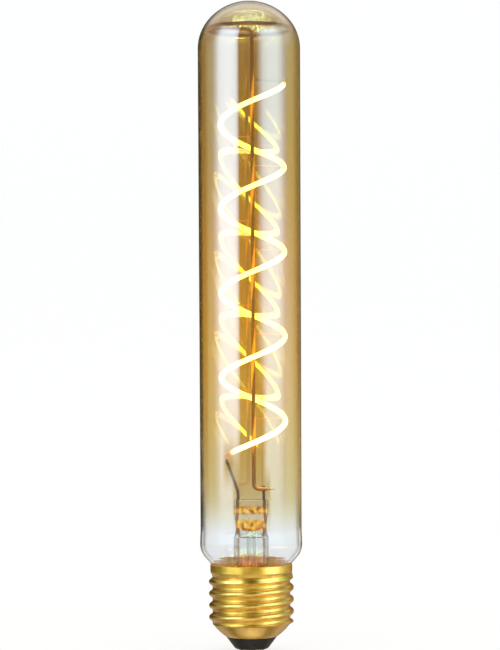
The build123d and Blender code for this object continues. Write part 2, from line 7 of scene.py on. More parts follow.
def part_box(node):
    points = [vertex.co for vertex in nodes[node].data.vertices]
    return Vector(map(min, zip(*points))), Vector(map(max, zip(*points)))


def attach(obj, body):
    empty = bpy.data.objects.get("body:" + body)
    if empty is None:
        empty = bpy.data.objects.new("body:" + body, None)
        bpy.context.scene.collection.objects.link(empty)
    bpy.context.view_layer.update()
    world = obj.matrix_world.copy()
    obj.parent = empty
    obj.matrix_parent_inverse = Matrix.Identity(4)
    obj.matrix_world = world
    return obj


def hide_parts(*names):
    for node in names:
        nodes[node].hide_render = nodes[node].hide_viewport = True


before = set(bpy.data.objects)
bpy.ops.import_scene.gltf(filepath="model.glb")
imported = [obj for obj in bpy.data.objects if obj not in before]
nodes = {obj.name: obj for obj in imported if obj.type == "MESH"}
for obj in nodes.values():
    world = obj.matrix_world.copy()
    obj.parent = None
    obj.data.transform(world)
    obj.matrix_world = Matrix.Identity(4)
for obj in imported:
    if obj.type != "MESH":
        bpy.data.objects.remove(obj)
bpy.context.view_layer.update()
scene = bpy.context.scene
mm = 0.001  # metres in a millimetre
mergeGap = 0.001 * mm  # points closer than this are one
mixFirst, mixSecond, mixResult = 6, 7, 2  # colour sockets of a Mix node, two in and one out
bandLength = 0.314  # at scale 1 a band wave repeats once in this length
fullTurn = 360.0  # degrees
print("frame loaded with", len(nodes), "nodes")


# sRGB hex to linear colour
def linear(hexColour):
    channels = [int(hexColour[start:start + 2], 16) / 255 for start in (1, 3, 5)]
    return (*[c / 12.92 if c <= 0.04045 else ((c + 0.055) / 1.055) ** 2.4 for c in channels], 1.0)


def grey(value):
    return (value, value, value, 1.0)


# one node with its settings, links and colour stops; a link to a node is to its first output
def addNode(tree, kind, settings=None, links=None, stops=None):
    node = tree.nodes.new(kind)
    for name, value in (settings or {}).items():
        if isinstance(name, int) or name in node.inputs:
            node.inputs[name].default_value = value
        else:
            setattr(node, name, value)
    for name, source in (links or {}).items():
        tree.links.new(getattr(source, "outputs", [source])[0], node.inputs[name])
    if stops:
        ramp = node.color_ramp.elements
        while len(ramp) < len(stops):
            ramp.new(1.0)
        for element, (position, colour) in zip(ramp, stops):
            element.position = position
            element.color = colour
    return node


# a material with one Principled shader, ready for its pattern
def newMaterial(name, settings):
    material = bpy.data.materials.new(name)
    material.use_nodes = True
    tree = material.node_tree
    tree.nodes.clear()
    shader = addNode(tree, "ShaderNodeBsdfPrincipled", settings)
    addNode(tree, "ShaderNodeOutputMaterial", links={"Surface": shader})
    place = addNode(tree, "ShaderNodeTexCoord").outputs["Object"]
    return material, tree, shader, place


# stops of a ramp from heights in mm, over a span that the ramp stands for
def levelStops(span, stops):
    low, high = span
    placed = []
    for z, tone in stops:
        colour = grey(tone) if isinstance(tone, float) else linear(tone)
        placed.append(((z - low) / (high - low), colour))
    return placed


def dress(material, *names):
    for name in names:
        nodes[name].data.materials.clear()
        nodes[name].data.materials.append(material)


def newPiece(name, shape, material, slot, sharp, *replaced):
    mesh = bpy.data.meshes.new(name)
    shape.to_mesh(mesh)
    shape.free()
    mesh.polygons.foreach_set("use_smooth", [True] * len(mesh.polygons))
    mesh.set_sharp_from_angle(angle=math.radians(sharp))
    mesh.materials.append(material)
    piece = bpy.data.objects.new(name, mesh)
    scene.collection.objects.link(piece)
    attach(piece, "root")
    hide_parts(*replaced)
    return piece


# amber lustre sprayed on blown soda glass: a gold view through it, and a film that mirrors the lamps
glassLook = {
    "heights": (26.0, 210.0),  # mm, from where to where the stops below are laid
    "tint": (
        (36.0, "#f6f9fc"), (41.0, "#f1eee0"), (48.0, "#e8dab4"), (56.0, "#e8d49c"), (70.0, "#eacd84"),
        (92.0, "#eecb6e"), (120.0, "#eac366"), (160.0, "#d6b667"), (186.0, "#d2b574"), (197.0, "#f6f0dc"),
    ),
    "film": (  # share of full lustre
        (37.0, 0.0), (44.0, 0.46), (56.0, 0.6), (70.0, 0.67), (110.0, 1.0), (188.0, 1.0), (197.0, 0.8),
    ),
    "filmIndex": 2.6,
    "bodyColour": "#b58a52",  # what the wall's own glass lets through
    "bodyDensity": 60.0,  # per metre, which darkens the long way through the edges
    "cloud": 9.0,  # mm across the sprayed film's clouds
    "cloudDrift": 3.0,  # mm up and down that they carry the colours
    "swell": 22.0,  # mm between slow swells of the blown wall
    "swellHeight": 0.2, "swellShare": 0.04,  # mm of their relief, and the share of it that shows
    "edge": (  # tone of the painted shade where the wall is seen edge on
        (34.0, "#303236"), (42.0, "#4a4842"), (50.0, "#8a6534"), (184.0, "#8a6534"), (190.0, "#c4b898"),
    ),
    "edgeShadeReach": (0.72, 0.9),  # facing at which the painted edge shade starts and is full
    "edgeShadeWiden": ((29.5, 0.0), (32.0, 0.1), (44.0, 0.1), (50.0, 0.0)),  # how much sooner it starts low down
}


def lustreGlass():
    material, tree, shader, place = newMaterial("amberLustreOnBlownGlass", {
        "Transmission Weight": 1.0, "IOR": 1.5, "Roughness": 0.0,
        "Coat IOR": glassLook["filmIndex"], "Coat Roughness": 0.012,
    })
    span = glassLook["heights"]
    drift = glassLook["cloudDrift"] * mm
    heights = {"From Min": span[0] * mm, "From Max": span[1] * mm}
    axes = addNode(tree, "ShaderNodeSeparateXYZ", links={0: place})
    cloudScale = {"Scale": 1 / (glassLook["cloud"] * mm), "Detail": 3.0}
    cloud = addNode(tree, "ShaderNodeTexNoise", cloudScale, {"Vector": place})
    driftRange = {"To Min": -drift / 2, "To Max": drift / 2}
    wave = addNode(tree, "ShaderNodeMapRange", driftRange, {"Value": cloud})
    level = addNode(tree, "ShaderNodeMath", {"operation": "ADD"}, {0: wave, 1: axes.outputs["Z"]})
    share = addNode(tree, "ShaderNodeMapRange", heights, {"Value": level})
    ramps = {}
    for part in ("tint", "film", "edgeShadeWiden", "edge"):
        stops = levelStops(span, glassLook[part])
        ramps[part] = addNode(tree, "ShaderNodeValToRGB", links={"Fac": share}, stops=stops)
    # painted shade where the wall is seen edge on
    thin, full = glassLook["edgeShadeReach"]
    grazing = addNode(tree, "ShaderNodeLayerWeight", {"Blend": 0.5})
    steep = addNode(tree, "ShaderNodeMath", {"operation": "ADD"},
                    {0: grazing.outputs["Facing"], 1: ramps["edgeShadeWiden"]})
    reach = addNode(tree, "ShaderNodeMapRange", {"From Min": thin, "From Max": full}, {"Value": steep})
    rim = addNode(tree, "ShaderNodeMix", {"data_type": "RGBA", mixFirst: grey(1.0)},
                  {0: reach, mixSecond: ramps["edge"]})
    seen = addNode(tree, "ShaderNodeVectorMath", {"operation": "MULTIPLY"},
                   {0: ramps["tint"], 1: rim.outputs[mixResult]})
    # slow swells bend what shows through, and the wall's own glass darkens long ways through it
    swellScale = {"Scale": 1 / (glassLook["swell"] * mm), "Detail": 1.0}
    swell = addNode(tree, "ShaderNodeTexNoise", swellScale, {"Vector": place})
    relief = {"Strength": glassLook["swellShare"], "Distance": glassLook["swellHeight"] * mm}
    bump = addNode(tree, "ShaderNodeBump", relief, {"Height": swell})
    bodySettings = {"Color": linear(glassLook["bodyColour"]), "Density": glassLook["bodyDensity"]}
    body = addNode(tree, "ShaderNodeVolumeAbsorption", bodySettings)
    tree.links.new(body.outputs[0], tree.nodes["Material Output"].inputs["Volume"])
    tree.links.new(seen.outputs[0], shader.inputs["Base Color"])
    tree.links.new(ramps["film"].outputs[0], shader.inputs["Coat Weight"])
    tree.links.new(bump.outputs[0], shader.inputs["Normal"])
    return material


# the envelope's cut edge on the XZ plane, spun into an even wall
tubeShape = {"steps": 160, "sharp": 40.0}  # round the axis, and degrees


def glassTube():
    shape = bmesh.new()
    shape.from_mesh(nodes["glass_envelope"].data)
    bmesh.ops.remove_doubles(shape, verts=shape.verts, dist=mergeGap)
    bmesh.ops.bisect_plane(shape, geom=shape.verts[:] + shape.edges[:] + shape.faces[:], dist=mergeGap / 10,
                           plane_co=(0, 0, 0), plane_no=(0, 1, 0), clear_inner=True, clear_outer=True)
    bmesh.ops.delete(shape, geom=[v for v in shape.verts if v.co.x < -mergeGap], context="VERTS")
    bmesh.ops.remove_doubles(shape, verts=shape.verts, dist=2 * mergeGap)
    bmesh.ops.spin(shape, geom=shape.verts[:] + shape.edges[:], cent=(0, 0, 0), axis=(0, 0, 1),
                   angle=2 * math.pi, steps=tubeShape["steps"], use_merge=True)
    bmesh.ops.remove_doubles(shape, verts=shape.verts, dist=2 * mergeGap)
    bmesh.ops.recalc_face_normals(shape, faces=shape.faces)
    return shape


tube = newPiece("glassTube", glassTube(), lustreGlass(), "amber_glass", tubeShape["sharp"],
                "glass_envelope")
print("glass tube spun:", len(tube.data.polygons), "faces")


# clear pressed glass of the stem: thick and fire polished, with painted shade along its edges, and painted
# light in the ledges of the pinch: the lamp's gold that they refract, painted into the glass and made to
# glow
stemLook = {
    "heights": (20.0, 50.0),  # mm, from where to where the stops below are laid
    "clear": "#f4f7f6",
    # painted light: tones of the lamp's gold that the ledges of the pinch refract
    "paintedGold": ((0.32, "#7a4808"), (0.41, "#c8840e"), (0.48, "#eeb01c"), (0.57, "#ffd83c"), (0.66, "#fff0a0")),
    "paintedGoldShares": (
        (24.0, 1.0), (27.5, 0.9), (29.5, 0.0), (36.6, 0.0), (37.4, 1.0), (39.8, 1.0),
        (40.4, 0.1), (41.6, 0.1), (42.1, 1.0), (43.9, 1.0), (44.6, 0.15), (46.5, 0.1),
    ),
    "glow": (  # strength of the painted glow of that gold, which the lamp lights
        (24.0, 0.08), (27.0, 0.05), (29.0, 0.0), (37.0, 0.0), (37.6, 0.12), (39.6, 0.12),
        (40.2, 0.0), (42.0, 0.0), (42.4, 0.16), (43.6, 0.16), (44.4, 0.0),
    ),
    "paintedGoldPatch": 1.5,  # mm across a patch
    # painted shade where the glass is seen edge on
    "edge": ((0.3, "#ffffff"), (0.5, "#b3a89e"), (0.8, "#3e362e")),
    "ripple": 2.2,  # mm between ripples of the pressed skin
    "rippleHeight": 0.2, "rippleShare": 0.3,  # mm of their relief, and the share of it that shows
}


def stemGlass():
    material, tree, shader, place = newMaterial("clearPressedGlass", {
        "Transmission Weight": 1.0, "IOR": 1.52, "Roughness": 0.0,
    })
    span = stemLook["heights"]
    axes = addNode(tree, "ShaderNodeSeparateXYZ", links={0: place})
    flat = addNode(tree, "ShaderNodeCombineXYZ", links={"X": axes.outputs["X"], "Z": axes.outputs["Z"]})
    # painted light: the gold in patches, and its painted glow
    patchScale = {"Scale": 1 / (stemLook["paintedGoldPatch"] * mm), "Detail": 2.0}
    patch = addNode(tree, "ShaderNodeTexNoise", patchScale, {"Vector": flat})
    paintedGold = addNode(tree, "ShaderNodeValToRGB", links={"Fac": patch},
                   stops=[(share, linear(colour)) for share, colour in stemLook["paintedGold"]])
    level = addNode(tree, "ShaderNodeMapRange", {"From Min": span[0] * mm, "From Max": span[1] * mm},
                    {"Value": axes.outputs["Z"]})
    paintedGoldShare = addNode(tree, "ShaderNodeValToRGB", links={"Fac": level},
                        stops=levelStops(span, stemLook["paintedGoldShares"]))
    body = addNode(tree, "ShaderNodeMix", {"data_type": "RGBA", mixFirst: linear(stemLook["clear"])},
                   {0: paintedGoldShare, mixSecond: paintedGold})
    glow = addNode(tree, "ShaderNodeValToRGB", links={"Fac": level},
                   stops=levelStops(span, stemLook["glow"]))
    # painted shade along the edges, where the glass is seen edge on
    grazing = addNode(tree, "ShaderNodeLayerWeight", {"Blend": 0.5})
    edge = addNode(tree, "ShaderNodeValToRGB", links={"Fac": grazing.outputs["Facing"]},
                   stops=[(share, linear(colour)) for share, colour in stemLook["edge"]])
    seen = addNode(tree, "ShaderNodeVectorMath", {"operation": "MULTIPLY"},
                   {0: body.outputs[mixResult], 1: edge})
    rippleScale = {"Scale": 1 / (stemLook["ripple"] * mm), "Detail": 2.0}
    ripple = addNode(tree, "ShaderNodeTexNoise", rippleScale, {"Vector": place})
    relief = {"Strength": stemLook["rippleShare"], "Distance": stemLook["rippleHeight"] * mm}
    bump = addNode(tree, "ShaderNodeBump", relief, {"Height": ripple})
    tree.links.new(seen.outputs[0], shader.inputs["Base Color"])
    tree.links.new(paintedGold.outputs[0], shader.inputs["Emission Color"])
    tree.links.new(glow.outputs[0], shader.inputs["Emission Strength"])
    tree.links.new(bump.outputs[0], shader.inputs["Normal"])
    return material


dress(stemGlass(), "stem_glass", "exhaust_tube")


# brass sheet, drawn and rolled: satin, with fine rings round the axis and a few darker clouds
brassLook = {
    "light": "#fcce4c", "dark": "#daa830",
    "ringSpacing": 0.12,  # mm
    "ringHeight": 0.01, "ringShare": 0.15,  # mm of their relief, and the share of it that shows
    "cloud": 3.0,  # mm across a cloud
    "cloudReach": (0.3, 0.62),  # of the noise, from dark to light
    "rough": (0.26, 0.42),
}


def drawnBrass():
    material, tree, shader, place = newMaterial("drawnBrassSatin", {
        "Metallic": 1.0,
        "Coat Weight": 0.8, "Coat Roughness": 0.12, "Coat IOR": 2.0,  # a thin clear lacquer
    })
    axes = addNode(tree, "ShaderNodeSeparateXYZ", links={0: place})
    turn = addNode(tree, "ShaderNodeMath", {"operation": "ARCTAN2"},
                   {0: axes.outputs["Y"], 1: axes.outputs["X"]})
    slow = addNode(tree, "ShaderNodeMath", {"operation": "MULTIPLY", 1: mm}, {0: turn})
    band = addNode(tree, "ShaderNodeCombineXYZ", links={"X": slow, "Z": axes.outputs["Z"]})
    ringScale = {"Scale": 1 / (brassLook["ringSpacing"] * mm), "Detail": 3.0}
    rings = addNode(tree, "ShaderNodeTexNoise", ringScale, {"Vector": band})
    cloudScale = {"Scale": 1 / (brassLook["cloud"] * mm), "Detail": 4.0}
    cloud = addNode(tree, "ShaderNodeTexNoise", cloudScale, {"Vector": place})
    darkest, lightest = brassLook["cloudReach"]
    colour = addNode(tree, "ShaderNodeValToRGB", links={"Fac": cloud},
                     stops=[(darkest, linear(brassLook["dark"])), (lightest, linear(brassLook["light"]))])
    smoothest, roughest = brassLook["rough"]
    rough = addNode(tree, "ShaderNodeMapRange", {"To Min": smoothest, "To Max": roughest}, {"Value": rings})
    relief = {"Strength": brassLook["ringShare"], "Distance": brassLook["ringHeight"] * mm}
    bump = addNode(tree, "ShaderNodeBump", relief, {"Height": rings})
    tree.links.new(colour.outputs[0], shader.inputs["Base Color"])
    tree.links.new(rough.outputs[0], shader.inputs["Roughness"])
    tree.links.new(bump.outputs[0], shader.inputs["Normal"])
    return material


dress(drawnBrass(), "screw_shell")


# black moulded glass of the insulator: deep, half gloss, with a fine mould grain
insulatorLook = {"light": "#2b2923", "dark": "#171511", "grain": 0.6, "rough": (0.3, 0.5)}

# metal drawn and pressed: a grain that breaks the gleam; tarnish takes part of the metal's mirror away
metalLooks = {
    "drawnNickelWire": {  # leads painted a dim grey-brown: painted shade and warm light
        "light": "#8a5214", "dark": "#4e2c08", "grain": 0.5, "rough": (0.25, 0.42), "tarnish": 0.4,
        "nodes": ("left_inner_lead", "right_inner_lead", "upper_link_wire"),
    },
    "drawnMolybdenumWire": {  # thin hooks painted orange, with a painted glow, for the strand beside them that lights them
        "light": "#d08a28", "dark": "#9a5e18", "grain": 0.3, "rough": (0.35, 0.5), "tarnish": 0.6,
        "glow": "#ffa828", "glowStrength": 0.8,
        "nodes": [f"filament_support_{number}" for number in range(1, 9)],
    },
    "stampedPlatedSteel": {  # small pale tabs
        "light": "#c2b8a0", "dark": "#948a74", "grain": 0.4, "rough": (0.25, 0.4), "tarnish": 0.0,
        "glow": "#ffc030", "glowStrength": 0.6,  # painted glow from the end of the strand beside them
        "nodes": ("upper_filament_terminal", "lower_filament_terminal"),
    },
    "drawnCopperWire": {  # reddish threads in the stem
        "light": "#d8984e", "dark": "#a06830", "grain": 0.4, "rough": (0.25, 0.4), "tarnish": 0.0,
        "nodes": ("left_seal_wire", "right_seal_wire", "left_outer_lead", "right_outer_lead"),
    },
    "pressedNickelPlate": {  # pale satin face of the contact
        "light": "#c9c2b2", "dark": "#a1988a", "grain": 0.7, "rough": (0.22, 0.38), "tarnish": 0.0,
        "nodes": ("centre_contact",),
    },
}

# dull moulded, dipped and baked parts in the cap
dullLooks = {
    "glassFibreLaminate": {  # green board with a mottled mask
        "light": "#2c6a3a", "dark": "#1f5430", "grain": 0.4, "rough": (0.4, 0.55),
        "nodes": ("driver_board",),
    },
    "mouldedEpoxy": {  # black packages with a fine mould grain
        "light": "#2a2a2c", "dark": "#1b1b1d", "grain": 0.3, "rough": (0.45, 0.6),
        "nodes": ("bridge_rectifier", "driver_chip"),
    },
    "shrunkSleeve": {  # blue-black skin with a soft gloss
        "light": "#2a3550", "dark": "#1c2438", "grain": 0.6, "rough": (0.28, 0.4),
        "nodes": ("smoothing_capacitor",),
    },
    "dippedLacquer": {  # grey-green body, uneven where it was dipped
        "light": "#6f9a8a", "dark": "#557d70", "grain": 0.4, "rough": (0.3, 0.45),
        "nodes": ("fuse_resistor",),
    },
    "firedAlumina": {  # dark chips with a glazed grain
        "light": "#3a3a40", "dark": "#28282c", "grain": 0.3, "rough": (0.4, 0.6),
        "nodes": ("sense_resistor_1", "sense_resistor_2"),
    },
    "sleevedWire": {  # off-white sleeves
        "light": "#d8d2c4", "dark": "#c2bba9", "grain": 0.5, "rough": (0.45, 0.6),
        "nodes": ("live_wire", "neutral_wire"),
    },
}


grainReach = (0.32, 0.66)  # of the noise, from dark to light
grainRelief = {"Strength": 0.2, "Distance": 0.03 * mm}


# two tones, a roughness and a relief through one grain
def grainy(name, look, settings):
    material, tree, shader, place = newMaterial(name, settings)
    grainScale = {"Scale": 1 / (look["grain"] * mm), "Detail": 5.0}
    grain = addNode(tree, "ShaderNodeTexNoise", grainScale, {"Vector": place})
    darkest, lightest = grainReach
    colour = addNode(tree, "ShaderNodeValToRGB", links={"Fac": grain},
                     stops=[(darkest, linear(look["dark"])), (lightest, linear(look["light"]))])
    smoothest, roughest = look["rough"]
    rough = addNode(tree, "ShaderNodeMapRange", {"To Min": smoothest, "To Max": roughest}, {"Value": grain})
    bump = addNode(tree, "ShaderNodeBump", grainRelief, {"Height": grain})
    tree.links.new(colour.outputs[0], shader.inputs["Base Color"])
    tree.links.new(rough.outputs[0], shader.inputs["Roughness"])
    tree.links.new(bump.outputs[0], shader.inputs["Normal"])
    # a painted glow, for the looks that have one
    if "glow" in look:
        shader.inputs["Emission Color"].default_value = linear(look["glow"])
        shader.inputs["Emission Strength"].default_value = look["glowStrength"]
    return material


dress(grainy("blackMouldedGlass", insulatorLook, {"IOR": 1.52, "Specular IOR Level": 0.2}), "cap_insulator")
for name, look in metalLooks.items():
    dress(grainy(name, look, {"Metallic": 1.0 - look["tarnish"]}), *look["nodes"])
for name, look in dullLooks.items():
    dress(grainy(name, look, {"IOR": 1.5}), *look["nodes"])
print("metal and dull parts dressed")


# steel of the rod, painted dark brown to orange for the strand's warm light on it, with a painted glow of
# that light on the side that it winds past
rodLook = {
    "light": "#b8700f", "dark": "#6e3c06", "grain": 0.8, "rough": (0.3, 0.5), "tarnish": 0.5,
    "gleam": "#ffb428", "gleamStrength": 2.0, "dusk": 0.07,  # painted glow on the lit side, and on the dark side
    "gleamReach": (0.0, 0.95),  # from where the light grazes the rod to where it falls full on
    "turns": 4.39,  # of the strand round the rod
    "heights": (40.0, 200.0),  # mm, from where to where the stops below are laid
    "beside": ((60.0, 0.0), (66.0, 1.0), (176.0, 1.0), (184.0, 0.0)),  # light from the strand beside it
    "above": ((54.0, 0.8), (62.0, 0.0)),  # and from above, on the foot
    "below": ((178.0, 0.0), (187.0, 0.14)),  # and from below, on the arm and the ring
}


def rodWithPaintedLight():
    settings = {"Metallic": 1.0 - rodLook["tarnish"], "Emission Color": linear(rodLook["gleam"])}
    material = grainy("steelRodPaintedLit", rodLook, settings)
    tree = material.node_tree
    shader = tree.nodes["Principled BSDF"]
    place = addNode(tree, "ShaderNodeTexCoord").outputs["Object"]
    height = addNode(tree, "ShaderNodeSeparateXYZ", links={0: place}).outputs["Z"]
    low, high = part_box("led_filament")
    pitch = (high[2] - low[2]) / rodLook["turns"]
    climb = addNode(tree, "ShaderNodeMath", {"operation": "SUBTRACT", 1: high[2]}, {0: height})
    angle = addNode(tree, "ShaderNodeMath", {"operation": "MULTIPLY", 1: 2 * math.pi / pitch}, {0: climb})
    across = addNode(tree, "ShaderNodeMath", {"operation": "COSINE"}, {0: angle})
    along = addNode(tree, "ShaderNodeMath", {"operation": "SINE"}, {0: angle})
    span = rodLook["heights"]
    level = addNode(tree, "ShaderNodeMapRange", {"From Min": span[0] * mm, "From Max": span[1] * mm},
                    {"Value": height})
    shares = {}
    for part in ("beside", "above", "below"):
        stops = levelStops(span, rodLook[part])
        shares[part] = addNode(tree, "ShaderNodeValToRGB", links={"Fac": level}, stops=stops)
    toStrand = addNode(tree, "ShaderNodeCombineXYZ", links={"X": across, "Y": along})
    sideways = addNode(tree, "ShaderNodeVectorMath", {"operation": "MULTIPLY"},
                       {0: toStrand, 1: shares["beside"]})
    upright = addNode(tree, "ShaderNodeMath", {"operation": "SUBTRACT"},
                      {0: shares["above"], 1: shares["below"]})
    upward = addNode(tree, "ShaderNodeCombineXYZ", links={"Z": upright})
    toLight = addNode(tree, "ShaderNodeVectorMath", {"operation": "ADD"}, {0: sideways, 1: upward})
    # painted glow on the side facing the strand, on the foot from above, and on the arm and ring from below
    facing = addNode(tree, "ShaderNodeNewGeometry").outputs["Normal"]
    lit = addNode(tree, "ShaderNodeVectorMath", {"operation": "DOT_PRODUCT"}, {0: toLight, 1: facing})
    grazed, full = rodLook["gleamReach"]
    gleamRange = {
        "From Min": grazed, "From Max": full,
        "To Min": rodLook["dusk"], "To Max": rodLook["gleamStrength"],
    }
    gleam = addNode(tree, "ShaderNodeMapRange", gleamRange, {"Value": lit.outputs["Value"]})
    tree.links.new(gleam.outputs[0], shader.inputs["Emission Strength"])
    return material


dress(rodWithPaintedLight(), "support_rod")


# cement squeezed up between the neck and the shell: a baked, grainy ring with a ragged crown along
# the glass
cementRing = {
    "section": (  # mm from the axis and mm up, round the ring's cut
        (11.24, 19.6), (11.24, 25.2), (12.12, 26.25), (12.26, 26.38), (12.26, 24.35), (11.6, 22.75),
        (11.6, 19.6),
    ),
    "crown": (2, 3),  # corners of the cut that carry the ragged edge
    "steps": 240,
    "ragged": (0.0, 0.45),  # mm along the glass, from least to most
    "lump": 1.5,  # mm across a lump
    "slope": (0.656, 0.755),  # outward and upward along the glass cone
    "sharp": 60.0,
}
cementLook = {
    "light": "#e0a030", "dark": "#b87a18", "grain": 0.5, "rough": (0.8, 0.95),
    "glow": "#cc8a12", "glowStrength": 0.55,  # painted glow, for lamp light led down by the neck's glass
}


def cementBead():
    shape = bmesh.new()
    corners = [shape.verts.new((r * mm, 0, z * mm)) for r, z in cementRing["section"]]
    for first, second in zip(corners, corners[1:] + corners[:1]):
        shape.edges.new((first, second))
    crownLevels = [round(cementRing["section"][corner][1] * mm, 6) for corner in cementRing["crown"]]
    bmesh.ops.spin(shape, geom=shape.verts[:] + shape.edges[:], cent=(0, 0, 0), axis=(0, 0, 1),
                   angle=2 * math.pi, steps=cementRing["steps"], use_merge=True)
    bmesh.ops.remove_doubles(shape, verts=shape.verts, dist=mergeGap)
    least, most = cementRing["ragged"]
    outward, upward = cementRing["slope"]
    for vert in shape.verts:
        if round(vert.co.z, 6) in crownLevels:
            lump = noise.noise(vert.co / (cementRing["lump"] * mm)) * 0.5 + 0.5  # from 0 to 1
            climb = (least + (most - least) * lump) * mm
            grow = 1 + climb * outward / math.hypot(vert.co.x, vert.co.y)
            vert.co = (vert.co.x * grow, vert.co.y * grow, vert.co.z + climb * upward)
    bmesh.ops.recalc_face_normals(shape, faces=shape.faces)
    return shape


cement = grainy("bakedResinCement", cementLook, {"IOR": 1.5})
newPiece("cementBead", cementBead(), cement, "cement", cementRing["sharp"], "basing_cement")
print("cement bead spun")


# lit phosphor in silicone: white on the chips' side, which faces out, and lemon on the tape's side,
# which the amber wall then warms
filamentLook = {
    "body": "#f2c24e",
    "outer": "#dcffff", "outerStrength": 8.0,
    "inner": "#ceff94", "innerStrength": 11.0,
    "turn": (-0.2, 0.7),  # facing from inner to outer light
    "end": "#ff8a28", "endStrength": 0.06,  # the bare tape beside each tab
    "endLength": (2.2, 4.8),  # mm from the tab's middle, from dim to full
    "chipSpacing": 0.5,  # mm
    "chipShade": 0.85,  # share of the light between chips
}


def litPhosphor():
    material, tree, shader, place = newMaterial("litPhosphorSilicone", {
        "Base Color": linear(filamentLook["body"]), "Roughness": 0.5,
    })
    low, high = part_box("led_filament")
    axis = ((low[0] + high[0]) / 2, (low[1] + high[1]) / 2, 0)  # the spiral stands round it
    arm = addNode(tree, "ShaderNodeVectorMath", {"operation": "SUBTRACT", 1: axis}, {0: place})
    level = addNode(tree, "ShaderNodeVectorMath", {"operation": "MULTIPLY", 1: (1, 1, 0)}, {0: arm})
    outward = addNode(tree, "ShaderNodeVectorMath", {"operation": "NORMALIZE"}, {0: level})
    facing = addNode(tree, "ShaderNodeNewGeometry").outputs["Normal"]
    turned = addNode(tree, "ShaderNodeVectorMath", {"operation": "DOT_PRODUCT"}, {0: outward, 1: facing})
    inside, outside = filamentLook["turn"]
    side = addNode(tree, "ShaderNodeMapRange", {"From Min": inside, "From Max": outside},
                   {"Value": turned.outputs["Value"]})
    colour = addNode(tree, "ShaderNodeValToRGB", links={"Fac": side},
                     stops=[(0.0, linear(filamentLook["inner"])), (1.0, linear(filamentLook["outer"]))])
    strengths = {"To Min": filamentLook["innerStrength"], "To Max": filamentLook["outerStrength"]}
    strength = addNode(tree, "ShaderNodeMapRange", strengths, {"Value": side})
    waves = bandLength / (filamentLook["chipSpacing"] * mm)  # a wave repeats once each spacing
    bands = {"wave_type": "BANDS", "bands_direction": "Z", "Scale": waves}
    chips = addNode(tree, "ShaderNodeTexWave", bands, {"Vector": place})
    ripple = addNode(tree, "ShaderNodeMapRange", {"To Min": filamentLook["chipShade"]},
                     {"Value": chips.outputs["Fac"]})
    # the strand dims to orange towards its two tabs
    ends = []
    for tab in ("upper_filament_terminal", "lower_filament_terminal"):
        middle = [(a + b) / 2 for a, b in zip(*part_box(tab))]
        away = addNode(tree, "ShaderNodeVectorMath", {"operation": "DISTANCE", 1: middle}, {0: place})
        ends.append(away.outputs["Value"])
    nearest = addNode(tree, "ShaderNodeMath", {"operation": "MINIMUM"}, {0: ends[0], 1: ends[1]})
    dim, full = filamentLook["endLength"]
    along = addNode(tree, "ShaderNodeMapRange", {"From Min": dim * mm, "From Max": full * mm},
                    {"Value": nearest})
    endColour = addNode(tree, "ShaderNodeValToRGB", links={"Fac": along},
                        stops=[(0.0, linear(filamentLook["end"])), (1.0, grey(1.0))])
    endShare = addNode(tree, "ShaderNodeMapRange", {"To Min": filamentLook["endStrength"]},
                       {"Value": along})
    evenGlow = addNode(tree, "ShaderNodeMath", {"operation": "MULTIPLY"}, {0: strength, 1: ripple})
    glow = addNode(tree, "ShaderNodeMath", {"operation": "MULTIPLY"}, {0: evenGlow, 1: endShare})
    tone = addNode(tree, "ShaderNodeVectorMath", {"operation": "MULTIPLY"}, {0: colour, 1: endColour})
    tree.links.new(tone.outputs[0], shader.inputs["Emission Color"])
    tree.links.new(glow.outputs[0], shader.inputs["Emission Strength"])
    return material


# the glowing core of the strand: the clear skin of its coat gives hardly any light and is left out
strandShape = {"skin": 0.2, "sharp": 40.0}  # mm, and degrees


def glowingStrand():
    shape = bmesh.new()
    shape.from_mesh(nodes["led_filament"].data)
    bmesh.ops.remove_doubles(shape, verts=shape.verts, dist=mergeGap)
    bmesh.ops.recalc_face_normals(shape, faces=shape.faces)
    shape.normal_update()
    for vert in shape.verts:
        vert.co -= vert.normal * strandShape["skin"] * mm
    return shape


newPiece("glowingStrand", glowingStrand(), litPhosphor(), "lit_phosphor", strandShape["sharp"],
         "led_filament")
print("materials dressed:", len(bpy.data.materials))

# pale stage: floor, cove and wall in one sweep all round
stageShape = {
    "floorRadius": 2.4, "coveRadius": 1.2, "wallTop": 4.0, "drop": 0.2 * mm,  # metres
    "coveSteps": 16, "steps": 96,
    "paper": "#8c8c8b", "ownLight": 0.76,
}


def paleStage():
    shape = bmesh.new()
    centre = shape.verts.new((0, 0, -stageShape["drop"]))
    edge = shape.verts.new((stageShape["floorRadius"], 0, -stageShape["drop"]))
    shape.edges.new((centre, edge))
    coveCentre = edge.co + Vector((0, 0, stageShape["coveRadius"]))
    cove = bmesh.ops.spin(shape, geom=[edge], cent=coveCentre, axis=(0, -1, 0), angle=math.pi / 2,
                          steps=stageShape["coveSteps"])
    top = cove["geom_last"][0]
    rim = shape.verts.new((top.co.x, 0, stageShape["wallTop"]))
    shape.edges.new((top, rim))
    bmesh.ops.spin(shape, geom=shape.verts[:] + shape.edges[:], cent=(0, 0, 0), axis=(0, 0, 1),
                   angle=2 * math.pi, steps=stageShape["steps"], use_merge=True)
    bmesh.ops.remove_doubles(shape, verts=shape.verts, dist=10 * mergeGap)
    bmesh.ops.recalc_face_normals(shape, faces=shape.faces)
    paper = newMaterial("paleStagePaper", {
        "Base Color": linear(stageShape["paper"]), "Roughness": 0.9,
        "Emission Color": grey(1.0), "Emission Strength": stageShape["ownLight"],
    })[0]
    mesh = bpy.data.meshes.new("paleStage")
    shape.to_mesh(mesh)
    shape.free()
    mesh.polygons.foreach_set("use_smooth", [True] * len(mesh.polygons))
    mesh.materials.append(paper)
    stage = bpy.data.objects.new("paleStage", mesh)
    scene.collection.objects.link(stage)
    stage.visible_glossy = False  # mirrors see the studio's dark room, not the paper


paleStage()

